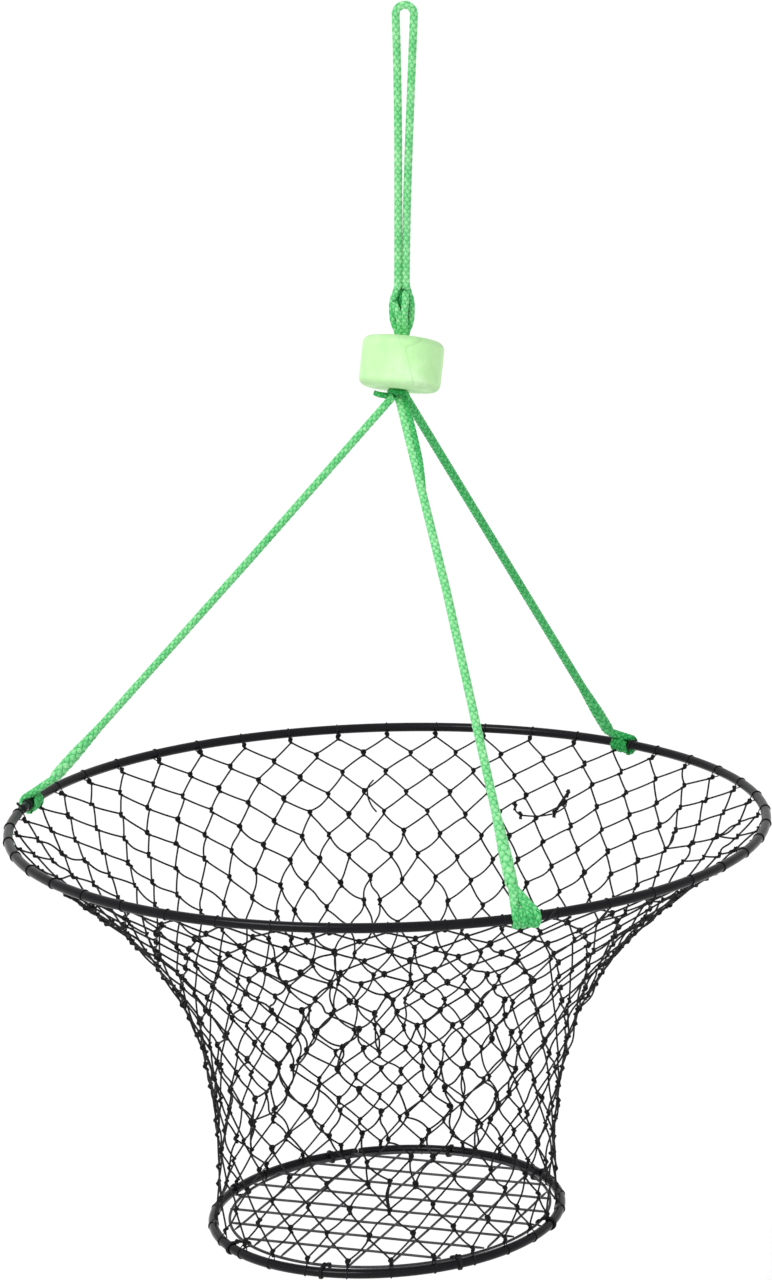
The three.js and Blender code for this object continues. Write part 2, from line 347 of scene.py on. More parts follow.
def rope_material(name, stops):
    """Braided polypropylene, glossy, with fine filaments along each strand. Its colour follows the tone:
    painted shade where a strand dips under another, and painted highlight on its crests."""
    n = Nodes(name)
    filaments = n.noise(n.stretched(n.thread_uv(), (0.10, 26, 1)), 1.0, 2.0)
    patches = n.noise(n.position(), 60.0, 2.0)
    mixed = n.math("ADD", n.math("MULTIPLY", filaments, 0.5), n.math("MULTIPLY", patches, 0.3))
    mixed = n.math("ADD", n.math("SUBTRACT", mixed, 0.4), n.tone())
    return n.shade(
        Base_Color=n.ramp(mixed, stops),
        Roughness=n.between(filaments, 0.34, 0.52),
        Specular_IOR_Level=0.3,
        Sheen_Weight=0.08,
        Sheen_Roughness=0.4,
        Sheen_Tint=(0.85, 1.0, 0.88, 1),
        Normal=n.bump(filaments, 0.5, 0.25 * MM),
    )


def twine_material():
    """Black three-ply twine: the ply runs round it as a slanting groove, and its colour is painted
    darker in the groove as painted shade.
    """
    n = Nodes("black_twine")
    uv = n.add("SeparateXYZ", {"Vector": n.thread_uv()})
    turns = n.math("ADD", n.math("MULTIPLY", uv.outputs[0], 0.42),
                   n.math("MULTIPLY", uv.outputs[1], 3.0))
    ply = n.math("SINE", n.math("MULTIPLY", turns, 2 * math.pi))
    fuzz = n.noise(n.position(), 2600.0, 2.0)
    # painted shade: the colour is darker in the ply's grooves and lighter on its crowns, besides the
    # random tone and fuzz
    shade = n.math("ADD", n.math("MULTIPLY", ply, 0.12),
                   n.math("ADD", n.math("MULTIPLY", n.tone(), 0.5), n.math("MULTIPLY", fuzz, 0.25)))
    return n.shade(
        Base_Color=n.ramp(shade, [(0.1, (0.004, 0.004, 0.005)), (0.9, (0.028, 0.026, 0.030))]),
        Roughness=n.between(fuzz, 0.5, 0.8),
        Specular_IOR_Level=0.2,
        Normal=n.bump(n.math("ADD", ply, fuzz), 0.6, 0.2 * MM),
    )


def vinyl_material():
    """Glossy black vinyl, faintly rippled from being drawn over the rod, with dust and scuffs."""
    n = Nodes("hoop_vinyl")
    ripple = n.noise(n.position(), 90.0, 2.0)
    scuffs = n.noise(n.position(), 700.0, 4.0, 0.7)
    return n.shade(
        Base_Color=n.ramp(scuffs, [(0.35, (0.003, 0.003, 0.004)), (0.75, (0.009, 0.008, 0.011))]),
        Roughness=n.between(scuffs, 0.20, 0.32),
        Specular_IOR_Level=0.12,
        Coat_Weight=0.07,
        Coat_Roughness=0.10,
        Normal=n.bump(ripple, 0.25, 1.2 * MM, n.bump(scuffs, 0.12, 0.2 * MM)),
    )


def wire_material():
    """Dark coated wire with a grainy skin, thin and greyer in spots."""
    n = Nodes("floor_wire")
    grain = n.noise(n.position(), 900.0, 4.0, 0.6)
    wear_and_painted_shade = n.noise(n.position(), 45.0, 3.0)
    return n.shade(
        Base_Color=n.ramp(n.math("ADD", n.math("MULTIPLY", grain, 0.4), n.math("MULTIPLY", wear_and_painted_shade, 0.6)),
                          [(0.35, (0.014, 0.013, 0.016)), (0.7, (0.060, 0.057, 0.064))]),
        Roughness=n.between(grain, 0.32, 0.55),
        Metallic=n.between(wear_and_painted_shade, 0.0, 0.35),
        Normal=n.bump(grain, 0.3, 0.2 * MM),
    )


def steel_material():
    """The bare rod that shows at a sleeve's seam."""
    n = Nodes("hoop_steel")
    grain = n.noise(n.position(), 400.0, 4.0)
    return n.shade(
        Base_Color=n.ramp(grain, [(0.3, (0.20, 0.19, 0.18)), (0.7, (0.42, 0.41, 0.40))]),
        Metallic=0.9,
        Roughness=n.between(grain, 0.3, 0.5),
        Normal=n.bump(grain, 0.2, 0.1 * MM),
    )


def foam_material():
    """Closed-cell foam: a soft pale green skin, mottled with paler rubbed patches, finely pitted and
    slightly waxy. Its rounded edges and creases, with a low tone, are painted greyer: painted shade."""
    n = Nodes("float_foam")
    mottle = n.noise(n.position(), 30.0, 4.0, 0.6)
    cells = n.add("TexVoronoi", {"Vector": n.position(), "Scale": 900.0}).outputs["Distance"]
    grain = n.noise(n.position(), 1400.0, 2.0)
    skin = n.ramp(mottle, [(0.3, (0.44, 0.80, 0.35)), (0.55, (0.54, 0.88, 0.43)),
                           (0.75, (0.68, 0.93, 0.60))])
    # painted shade: a low tone mixes the skin towards this grey green on the rounded edges and in the
    # creases
    wear_and_painted_shade = n.add("MixRGB", {"Fac": n.tone(), "Color1": (0.24, 0.38, 0.22, 1), "Color2": skin})
    n.shade(
        Base_Color=wear_and_painted_shade.outputs["Color"],
        Roughness=n.between(grain, 0.40, 0.56),
        Specular_IOR_Level=0.45,
        Subsurface_Weight=0.25,
        Subsurface_Scale=4 * MM,
        Normal=n.bump(cells, 0.15, 0.3 * MM, n.bump(mottle, 0.2, 1.5 * MM)),
    )
    n.shader.inputs["Subsurface Radius"].default_value = (0.6, 1.0, 0.5)
    return n.material


# This ramp runs from painted shade in the strands' dips to painted highlight on their crests.
ROPE_GREEN = rope_material("green_rope", [(0.05, (0.002, 0.18, 0.025)), (0.35, (0.017, 0.39, 0.082)),
                                          (0.62, (0.11, 0.58, 0.19)), (0.92, (0.38, 0.80, 0.40))])
# The rope's inside is painted dark green: painted shade between the strands.
ROPE_INSIDE_SHADE = rope_material("rope_inside", [(0.2, (0.001, 0.06, 0.010)), (0.8, (0.003, 0.12, 0.02))])
TWINE_BLACK = twine_material()
VINYL = vinyl_material()
WIRE = wire_material()
STEEL = steel_material()
FOAM = foam_material()

# ------------ camera, floor and light


CAMERA_PLACE = (-17.93 * MM, -4021.9 * MM, 295.68 * MM)
CAMERA_TILT = 12.793  # degrees that it looks down
CAMERA_LENS = 117.6
FLOOR_REACH = 60
FLOOR_GAP = 0.42  # from the lower hoop down to the floor


def add_camera():
    data = bpy.data.cameras.new("camera")
    data.lens = CAMERA_LENS
    data.sensor_width = 36
    data.clip_end = 200
    camera = bpy.data.objects.new("camera", data)
    bpy.context.scene.collection.objects.link(camera)
    camera.location = CAMERA_PLACE
    camera.rotation_euler = (math.radians(90 - CAMERA_TILT), 0, 0)
    bpy.context.scene.camera = camera


def add_stage():
    """A plain pale floor, well below the hanging trap."""
    n = Nodes("pale_floor")
    soft = n.noise(n.position(), 0.6, 2.0)
    n.shade(Base_Color=n.ramp(soft, [(0.0, (0.93, 0.93, 0.93)), (1.0, (0.95, 0.95, 0.95))]),
            Roughness=0.9, Specular_IOR_Level=0.1)
    mesh = bpy.data.meshes.new("stage_floor")
    corners = ((-1, -1), (1, -1), (1, 1), (-1, 1))
    mesh.from_pydata([(x * FLOOR_REACH, y * FLOOR_REACH, 0) for x, y in corners], [], [(0, 1, 2, 3)])
    mesh.materials.append(n.material)
    floor = bpy.data.objects.new("stage_floor", mesh)
    floor.location = (0, 0, LOWER[2] - FLOOR_GAP)
    bpy.context.scene.collection.objects.link(floor)


def add_lights():
    """A bright even room with one soft key light from the upper left."""
    world = bpy.data.worlds.new("studio")
    world.use_nodes = True
    background = world.node_tree.nodes["Background"]
    background.inputs["Color"].default_value = (1, 1, 1, 1)
    background.inputs["Strength"].default_value = 0.80
    bpy.context.scene.world = world
    key = bpy.data.lights.new("key", "SUN")
    key.energy = 1.5
    key.angle = math.radians(24)  # wide, for soft shadows
    light = bpy.data.objects.new("key", key)
    light.rotation_euler = Vector((0.55, 0.62, -0.75)).to_track_quat("-Z", "Y").to_euler()
    bpy.context.scene.collection.objects.link(light)
    bpy.context.scene.view_settings.view_transform = "Standard"


add_camera()
add_stage()
add_lights()

# ------------ hoops


def on_hoop(centre, radius, azimuth, section_angle=0.0, section_radius=0.0):
    """A point near a hoop. Azimuth is in radians from -Y towards +X; the section's angle is measured
    from outward towards up."""
    r = radius + section_radius * np.cos(section_angle)
    z = centre[2] + section_radius * np.sin(section_angle)
    return np.stack(np.broadcast_arrays(
        centre[0] + r * np.sin(azimuth), centre[1] - r * np.cos(azimuth), z), axis=-1)


def outwards(azimuth):
    """The level direction away from a hoop's axis."""
    return np.array((math.sin(azimuth), -math.cos(azimuth), 0))


def make_hoop(name, centre, radius):
    """A vinyl sleeve round a steel rod, open for a moment at its seam, its cut ends rolled in."""
    seam = math.radians(SEAM_ANGLES[name] + 90)  # from -Y towards +X
    half_gap = 0.75 * MM / radius
    turns = np.linspace(seam + half_gap, seam + 2 * math.pi - half_gap, 300)
    sleeve = Tubes()
    size = np.full(len(turns), SLEEVE)
    size[[0, -1]] = SLEEVE - 0.6 * MM
    sleeve.add(on_hoop(centre, radius, turns), size, sides=20)
    sleeve.make(name + "_cover", VINYL, name, [name + "_sleeve"], "hoop_vinyl", askew)
    rod = Tubes()
    rod.add(on_hoop(centre, radius, np.linspace(seam - 0.02, seam + 0.02, 9)), 3.0 * MM, sides=16)
    rod.make(name + "_core", STEEL, name, [name + "_rod"], "hoop_steel", askew)


make_hoop("upper_hoop", UPPER, UPPER_RADIUS)
make_hoop("lower_hoop", LOWER, LOWER_RADIUS)

# ------------ net wall

# Knots in each row, from the upper hoop down: some rows pick up two loops at once to draw it in.
NET_ROWS = (44, 43, 42, 41, 40, 39, 38, 36, 35, 34, 33, 32, 31, 29, 28, 26, 25)
BAR = 34.4 * MM  # twine from one knot to the next
WAIST = 167.5 * MM  # radius of the wall where it is narrowest
TIGHT = 0.6 * MM  # radius of twine pulled flat round a hoop
LOOP_ROUND_HOOP = SLEEVE + 0.6 * TIGHT  # from a hoop's centre to a loop's twine
RING_KNOT = 10.5 * MM  # from a hoop's centre to the knot under a loop
UPPER_KNOTS_AT = math.radians(218)  # inwards and down from the upper hoop
LOWER_KNOTS_AT = math.radians(110)  # up and slightly inwards from the lower hoop


def wall_radius(depth):
    """Radius of the net wall at a depth below the upper hoop, as in the frame."""
    d = np.asarray(depth) / MM
    shoulder = (UPPER_RADIUS - WAIST) * np.exp(-(0.0062 * d + 0.0000195 * d**2))
    flare = (LOWER_RADIUS - WAIST) * np.exp((d - DEPTH / MM) / 25)
    return WAIST + shoulder + flare


# Where the upper rows pick up two loops at once, in turn: near the sides, as azimuths in degrees.
JOINS_AT = (84, 262, 97, 275, 78, 268, 104, 256)


def following(angles):
    """For each angle, the next one round the ring."""
    return np.append(angles[1:], angles[0] + 2 * math.pi)


def knot_rows():
    """The angle of each knot by row, and the bars between rows as (row, upper, lower, doubled)."""
    first = 2 * math.pi * (np.arange(NET_ROWS[0]) + 0.5) / NET_ROWS[0]
    rows, bars = [first], []
    picked = 0
    for row, count in enumerate(NET_ROWS[1:]):
        above = rows[-1]
        n = len(above)
        joined = set()
        while len(joined) < n - count:
            if picked < len(JOINS_AT):
                gap = int(np.argmin(np.abs(above - math.radians(JOINS_AT[picked]))))
            else:
                gap = int((0.31 + 0.618034 * picked) % 1 * (n - 2))
            picked += 1
            if not joined & {gap - 1, gap, gap + 1}:
                joined.add(gap)
        angles, k = [], 0
        while k < n:
            span = 2 if k in joined else 1
            parents = range(k, k + span + 1)
            angles.append(np.mean([above[p % n] + 2 * math.pi * (p // n) for p in parents]))
            for i, p in enumerate(parents):
                bars.append((row, p % n, len(angles) - 1, 0 < i < span))
            k += span
        angles = np.array(angles)
        for _ in range(3):  # even out the spacing beside a join
            before = np.append(angles[-1] - 2 * math.pi, angles[:-1])
            angles = (before + 2 * angles + following(angles)) / 4
        rows.append(angles)
    return rows, bars


def relax(points, fixed, ends, rest):
    """Lets the knots settle: a bar pulls when it is stretched and pushes less when it is slack, the
    net's weight pulls it down, and a light draw keeps it near the wall's shape."""
    a, b = ends[:, 0], ends[:, 1]
    touching = np.bincount(ends.ravel(), minlength=len(points))[:, None]
    free = ~fixed
    for _ in range(500):
        gap = points[b] - points[a]
        far = np.linalg.norm(gap, axis=1, keepdims=True)
        stretch = far - rest[:, None]
        push = gap / far * stretch * np.where(stretch > 0, 0.5, 0.30)
        move = np.zeros_like(points)
        np.add.at(move, a, push)
        np.add.at(move, b, -push)
        points[free] += (1.5 * move / touching)[free]
        points[free, 2] -= 0.004 * MM
        off = points[:, :2] - UPPER[:2]
        r = np.linalg.norm(off, axis=1)
        wanted = wall_radius(np.clip(UPPER[2] - points[:, 2], 0, DEPTH))
        pull = 1 + 0.10 * (wanted - r) / r
        points[free, :2] = (UPPER[:2] + off * pull[:, None])[free]
    return points


class Net:
    """Knots and bars of the wall, partly relaxed. Its last points are the knots at the hoops, which hold
    still: first those at the upper hoop, then those at the lower one."""

    def __init__(self):
        rows, bars = knot_rows()
        depths = np.linspace(0, DEPTH, 400)
        slants = lengths_along(np.column_stack([wall_radius(depths), depths, 0 * depths]))
        room = slants[-1] - 2 * RING_KNOT
        row_slants = RING_KNOT + room * (np.arange(len(rows)) + 1) / (len(rows) + 1)
        row_depths = np.interp(row_slants, slants, depths)
        self.starts = np.concatenate([[0], np.cumsum([len(r) for r in rows])])
        points = []
        for angles, depth in zip(rows, row_depths):
            jitter = rng.normal(0, 1.2 * MM, (3, len(angles)))
            r = wall_radius(depth) + jitter[0]
            turn = angles + jitter[1] / r
            knots = on_hoop(UPPER, r, turn)
            knots[:, 2] += jitter[2] - depth
            points.append(knots)
        self.top_turns = (rows[0] + following(rows[0])) / 2
        self.bottom_turns = (rows[-1] + following(rows[-1])) / 2
        points.append(on_hoop(UPPER, UPPER_RADIUS, self.top_turns, UPPER_KNOTS_AT, RING_KNOT))
        points.append(on_hoop(LOWER, LOWER_RADIUS, self.bottom_turns, LOWER_KNOTS_AT, RING_KNOT))
        self.points = np.vstack(points)
        self.knots = self.starts[-1]
        self.top = self.knots
        self.bottom = self.knots + len(rows[0])
        ends = [(self.starts[r] + u, self.starts[r + 1] + v) for r, u, v, _ in bars]
        self.doubled = [d for *_, d in bars]
        self.inner_bars = len(ends)
        top, last = len(rows[0]), len(rows[-1])
        for k in range(top):
            ends += [(self.top + k, k), (self.top + k, (k + 1) % top)]
        for k in range(last):
            ends += [(self.starts[-2] + k, self.bottom + k),
                     (self.starts[-2] + (k + 1) % last, self.bottom + k)]
        self.ends = np.array(ends)
        self.rest = BAR * (1 + rng.normal(0, 0.022, len(ends)))
        fixed = np.arange(len(self.points)) >= self.knots
        drawn = self.points.copy()
        settled = relax(self.points, fixed, self.ends, self.rest)
        self.points = (settled + drawn) / 2  # halfway, so that the rows stay even

    def knot_frames(self):
        """For each knot: its place, and its own sideways, up and outward directions."""
        above = np.zeros(self.points.shape)
        below = np.zeros(self.points.shape)
        for upper, lower in self.ends:
            above[lower] += unit(self.points[upper] - self.points[lower])
            below[upper] += unit(self.points[lower] - self.points[upper])
        up = unit(above - below + rng.normal(0, 0.25, above.shape))
        place = self.points
        out = place - UPPER
        out[:, 2] = 0
        out = unit(out) + 0.35 * rng.normal(0, 1, out.shape)
        out = unit(out - up * np.sum(out * up, axis=1, keepdims=True))
        return place, np.cross(up, out), up, out


KNOT_HALF = 2.2 * MM  # from a knot's middle to where its bars leave it


def bar_line(start, end, length, samples=9):
    """A bar of twine between two points. Spare length bows it, mostly down."""
    t = np.linspace(0, 1, samples)[:, None]
    chord = end - start
    distance = np.linalg.norm(chord)
    spare = max(length - distance, 0.05 * MM)
    bow = min(0.35 * math.sqrt(distance * spare), 3 * MM)
    side = rng.normal(0, 1, 3) + np.array((0, 0, -0.9))
    side = unit(side - chord * (side @ chord) / distance**2)
    other = np.cross(chord / distance, side)
    wave = rng.normal(0, 0.22) * bow
    return start + chord * t + side * bow * np.sin(math.pi * t) + other * wave * np.sin(2 * math.pi * t)


def knot_template():
    """A sheet bend: the upper mesh's bight, and the lower twine wrapped behind and under itself.
    Its units are twine radii."""
    bight = [(-1.4, 3.4, 0), (-1.2, 1.6, 0.3), (-0.9, -0.6, 0.6), (0, -1.9, 0.8), (0.9, -0.6, 0.6),
             (1.2, 1.6, 0.3), (1.4, 3.4, 0)]
    wrap = [(-1.4, -3.4, 0), (-0.9, -2.2, -0.6), (0.2, -0.3, 1.9), (2.2, 1.2, 0.8), (1.8, 1.9, -1.4),
            (-1.8, 1.9, -1.4), (-2.3, 1.0, 0.9), (0.2, 0.0, 2.3), (1.2, -2.2, -0.2), (1.4, -3.4, 0)]
    knot = Tubes()
    stretch = np.array((0.68, 1.1, 0.9))
    knot.add(spline(bight, 2) * stretch, 1.0, sides=5)
    knot.add(spline(wrap, 2) * stretch, 1.0, sides=5)
    return knot


def hoop_loop(centre, radius, azimuth, knots_at):
    """One loop of twine from the knot beside a hoop, tight round the hoop and back into the knot."""
    touch = math.acos(LOOP_ROUND_HOOP / RING_KNOT)
    section = np.linspace(knots_at + touch, knots_at + 2 * math.pi - touch, 15)
    reach = np.full(len(section), LOOP_ROUND_HOOP)
    section = np.concatenate([[knots_at], section, [knots_at]])
    reach = np.concatenate([[RING_KNOT], reach, [RING_KNOT]])
    drift = np.linspace(-1.3 * MM, 1.3 * MM, len(section)) * rng.choice((-1, 1)) / radius
    return on_hoop(centre, radius, azimuth + drift, section, reach)


# Twine ends and mends at the back of the wall, as (azimuth in degrees, depth in millimetres).
MEND_KNOTS = [(151, 70), (153, 63), (143.5, 65), (143, 47)]
MEND_LINES = [
    [(151, 70), (152.5, 66.5), (153, 63)],
    [(151, 70), (147, 69), (143.5, 65)],
    [(143.5, 65), (143.1, 56), (143, 47)],
    [(143.7, 65), (143.5, 56), (143.2, 47)],
    [(143.5, 65), (141.9, 58), (142.5, 53)],
    [(182.6, 44), (183.7, 50), (183.8, 58), (183.1, 66), (182.2, 71)],
]


def on_wall(azimuth, depth, out=0.0):
    """A point of the net wall, from an azimuth in degrees and a depth and an offset in millimetres."""
    r = wall_radius(depth * MM) + out * MM
    return on_hoop(UPPER, r, math.radians(azimuth)) - np.array((0, 0, depth * MM))


def add_mends(wall, knots):
    for line in MEND_LINES:
        wall.add(spline([on_wall(a, d, 0.8) for a, d in line], 5), 0.9 * TWINE, sides=6,
                 tone=rng.random())
    matrices = []
    for azimuth, depth in MEND_KNOTS:
        turn = math.radians(azimuth + rng.normal(0, 8))
        out = outwards(turn)
        up = unit(np.array((rng.normal(0, 0.4), rng.normal(0, 0.4), 1.0)))
        axes = np.stack([np.cross(up, out), up, out], axis=1) * TWINE * 1.1
        matrices.append(np.column_stack([axes, on_wall(azimuth, depth, 1.0)]))
    knots.add_copies(knot_template(), matrices, 0.5 * rng.random(len(matrices)))


def make_net():
    net = Net()
    wall, knots, upper_loops, lower_loops = Tubes(), Tubes(), Tubes(), Tubes()
    place, side, up, out = net.knot_frames()
    for k, (a, b) in enumerate(net.ends):
        doubled = k < net.inner_bars and net.doubled[k]
        for strand in ((-1, 1) if doubled else (0,)):
            shift = side[a] * strand * 1.1 * MM
            start = place[a] - up[a] * KNOT_HALF + 0.4 * shift
            end = place[b] + up[b] * KNOT_HALF + 0.4 * shift
            length = net.rest[k] - 2 * KNOT_HALF + abs(strand) * rng.random() * 0.8 * MM
            wall.add(bar_line(start, end, length), TWINE, sides=5, tone=rng.random())
    for turn in net.top_turns:
        upper_loops.add(hoop_loop(UPPER, UPPER_RADIUS, turn, UPPER_KNOTS_AT), TIGHT, tone=rng.random())
    for turn in net.bottom_turns:
        lower_loops.add(hoop_loop(LOWER, LOWER_RADIUS, turn, LOWER_KNOTS_AT), TIGHT, tone=rng.random())
    sizes = 1.1 * TWINE * rng.normal(1.0, 0.07, (len(place), 1, 1))
    axes = np.stack([side, up, out], axis=2) * sizes
    matrices = np.concatenate([axes, place[:, :, None]], axis=2)
    tones = 0.6 * rng.random(len(place))
    template = knot_template()
    knots.add_copies(template, matrices[:net.top], tones)
    upper_loops.add_copies(template, matrices[net.top:net.bottom], tones)
    lower_loops.add_copies(template, matrices[net.bottom:], tones)
    add_mends(wall, knots)

    bands = sorted(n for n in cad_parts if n.startswith("net_band_"))
    for name, tubes, replaced in (("net_wall", wall, bands), ("net_knots", knots, [])):
        piece = tubes.make(name, TWINE_BLACK, None, replaced, "black_twine", askew)
        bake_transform(piece)
    upper_loops.make("net_loops_upper", TWINE_BLACK, "upper_hoop", [], "black_twine", askew)
    lower_loops.make("net_loops_lower", TWINE_BLACK, "lower_hoop", [], "black_twine", askew)


make_net()

# ------------ mesh floor and its ties


def make_floor():
    """Welded wire mesh: each wire runs corner to corner of its node's box, with a slight ripple."""
    wires = [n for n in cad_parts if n.startswith("floor_wire_")]
    floor = Tubes()
    for node in sorted(wires):
        low, high = (np.array(c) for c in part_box(node))
        z = level(middle(node))[2]
        across = "across" in node
        a = np.array((low[0], high[1] if across else low[1], z))
        b = np.array((high[0], low[1] if across else high[1], z))
        inset = 1.1 * MM * unit(b - a)
        line = resampled([a + inset, b - inset], 6 * MM)
        ripple = rng.normal(0, 0.25 * MM, (len(line), 3)) * (1, 1, 0.3)
        ripple[[0, -1]] = 0
        size = np.full(len(line), 1.3 * MM)
        size[[0, -1]] = 0.8 * MM
        floor.add(line + smoothed(ripple, 3), size, sides=10, tone=rng.random())
    turns = np.linspace(0, 2 * math.pi, 180, endpoint=False)
    floor.add(on_hoop(RIM, RIM_RADIUS, turns), RIM_WIRE, sides=12, closed=True)
    floor.make("mesh_floor", WIRE, "lower_hoop", wires + ["floor_rim"], "floor_wire", askew)


def around_both(span, clear):
    """A closed line in a section's plane round the hoop at the origin and the rim a span further in."""
    a, b = SLEEVE + clear, RIM_WIRE + clear
    lean = math.acos((a - b) / span)
    big = np.linspace(-(math.pi - lean), math.pi - lean, 15)
    small = np.linspace(math.pi - lean, math.pi + lean, 9)
    points = [(a * math.cos(t), a * math.sin(t)) for t in big]
    points += [(-span + b * math.cos(t), b * math.sin(t)) for t in small]
    return np.array(points)


def make_ties():
    """Each tie is twine wound twice round the hoop and the floor's rim, and knotted on top."""
    ties = Tubes()
    nodes = sorted(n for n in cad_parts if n.startswith("floor_tie_"))
    turns = 2
    for node in nodes:
        away = level(middle(node)) - LOWER
        azimuth = math.atan2(away[0], -away[1])
        side = outwards(azimuth)
        forward = np.cross((0, 0, 1), side)
        shift = (RIM - LOWER)[:2]
        along = shift @ side[:2]
        rim_at = along + math.sqrt(RIM_RADIUS**2 - shift @ shift + along**2)
        outline = around_both(LOWER_RADIUS - rim_at, TWINE + 0.1 * MM)
        path = np.vstack([outline] * turns)
        drift = np.linspace(-1.5, 1.5, len(path)) * MM * rng.choice((-1, 1))
        line = on_hoop(LOWER, LOWER_RADIUS + path[:, 0], azimuth + drift / LOWER_RADIUS)
        line[:, 2] += path[:, 1]
        ties.add(rounded(line, 0.9 * MM, 2), TWINE, sides=6, tone=rng.random())
        knot = LOWER + side * (LOWER_RADIUS - 6 * MM) + np.array((0, 0, SLEEVE + 0.4 * MM))
        axes = np.column_stack([forward, side, (0, 0, 1)]) * TWINE
        ties.add_copies(knot_template(), [np.column_stack([axes, knot])], [0.3])
        tail = [knot, knot + forward * 3 * MM + (0, 0, 1 * MM), knot + forward * 5 * MM + side * 2 * MM]
        ties.add(spline(tail, 5), TWINE, sides=6, tone=rng.random())
    ties.make("floor_ties", TWINE_BLACK, "lower_hoop", nodes, "black_twine", askew)


make_floor()
make_ties()

# ------------ braided rope


def braid(tubes, inside, line, radius, strands=4, squeeze=None, shade=0.0):
    """Braids a rope along a line: strands wound both ways, each passing over and under the others.
    radius and shade are one number or one per point; shade darkens the strands' colour as painted shade.
    squeeze is (directions, shares) that flatten it."""
    radius = np.broadcast_to(np.asarray(radius, float), (len(line),))
    shade = np.broadcast_to(np.asarray(shade, float), (len(line),))
    mean = float(radius.mean())
    step = BRAID_PITCH * 2 * mean / strands / 7
    along = lengths_along(line)
    count = int(along[-1] / step) + 2
    at = np.linspace(0, along[-1], count)

    def spread(values):
        return np.column_stack([np.interp(at, along, values[:, k]) for k in range(values.shape[1])])

    centre = spread(line)
    size = np.interp(at, along, radius)
    tangents = unit(np.gradient(centre, axis=0))
    normals = carried_normals(tangents)
    sideways = np.cross(tangents, normals)
    turn = np.concatenate([[0], np.cumsum(np.diff(at) * 2 * math.pi / (BRAID_PITCH * 2 * size[1:]))])
    over = np.cos(strands * turn)  # 1 where the first way's strands are on top
    thick = 0.19 * size
    wave = 0.17 * size
    lay = math.atan(math.pi / BRAID_PITCH)
    width = 0.5 * BRAID_PITCH * 2 * size / strands * math.sin(lay) * 0.90
    for way in (1, -1):
        for i in range(strands):
            angle = way * turn + 2 * math.pi * i / strands
            out = np.cos(angle)[:, None] * normals + np.sin(angle)[:, None] * sideways
            offset = out * (size - thick - wave + way * wave * over)[:, None]
            if squeeze is not None:
                flatter, share = spread(squeeze[0]), np.interp(at, along, squeeze[1])
                offset -= flatter * ((1 - share) * np.sum(offset * flatter, axis=1))[:, None]
            points = centre + offset
            heading = unit(np.gradient(points, axis=0))
            flat_side = unit(np.cross(out, heading))
            # painted shade and painted highlight: each strand is drawn darker where it dips under the
            # other way's strands and paler where it crosses over them
            tone = 0.54 + 0.29 * way * over + np.interp(at, along, shade) + rng.normal(0, 0.05)
            tubes.add(points, width, sides=8, tone=tone, normals=flat_side,
                      flat=float(thick.mean() / width.mean()))
    # the inside, painted dark: painted shade seen between the strands
    core = size * 0.5
    inside.add(centre[::4], core[::4], sides=8)


def make_rope(name, rope, inside, replaced):
    """A rope on the harness, with its inside as a child, seen only between its strands and painted dark
    green as painted shade.
    """
    piece = rope.make(name + "_rope", ROPE_GREEN, "harness", replaced, "green_rope")
    inside.make(name + "_inside", ROPE_INSIDE_SHADE, None, [], "green_rope").parent = piece
    return piece


LOOP_TOP_HALF = 8.75 * MM  # from the loop's middle to a strand's, at the top
LOOP_FOOT_HALF = 3.8 * MM
LOOP_SIZE = 7.5 * MM  # nominal thickness of the loop's rope


def carry_loop_line():
    """The route of the carry loop, as in the frame: up one strand, round the bend, down the other."""
    knot_x, knot_y = KNOT_CENTRE[0], KNOT_CENTRE[1]
    foot_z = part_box("loop_knot")[1].z + 0.3 * MM
    bend_z = LOOP_ROPE - LOOP_TOP_HALF
    rise = np.linspace(0, 1, 40)
    spread = LOOP_FOOT_HALF + (LOOP_TOP_HALF - LOOP_FOOT_HALF) * rise**2
    centre = knot_x * (1 - rise * rise * (3 - 2 * rise))
    y = knot_y * (1 - rise)
    z = foot_z + rise * (bend_z - foot_z)
    left = np.column_stack([centre - spread, y, z])
    right = np.column_stack([centre + spread, y, z])[::-1]
    bend = np.linspace(math.pi, 0, 16)[1:-1]
    top = np.column_stack([LOOP_TOP_HALF * np.cos(bend), 0 * bend,
                           bend_z + LOOP_TOP_HALF * np.sin(bend)])
    return np.vstack([left, top, right])


def make_carry_loop():
    line = carry_loop_line()
    rope, inside = Tubes(), Tubes()
    braid(rope, inside, line, 0.56 * LOOP_SIZE)  # the strands' crowns stand a little proud
    piece = make_rope("carry_loop", rope, inside, ["carry_loop"])


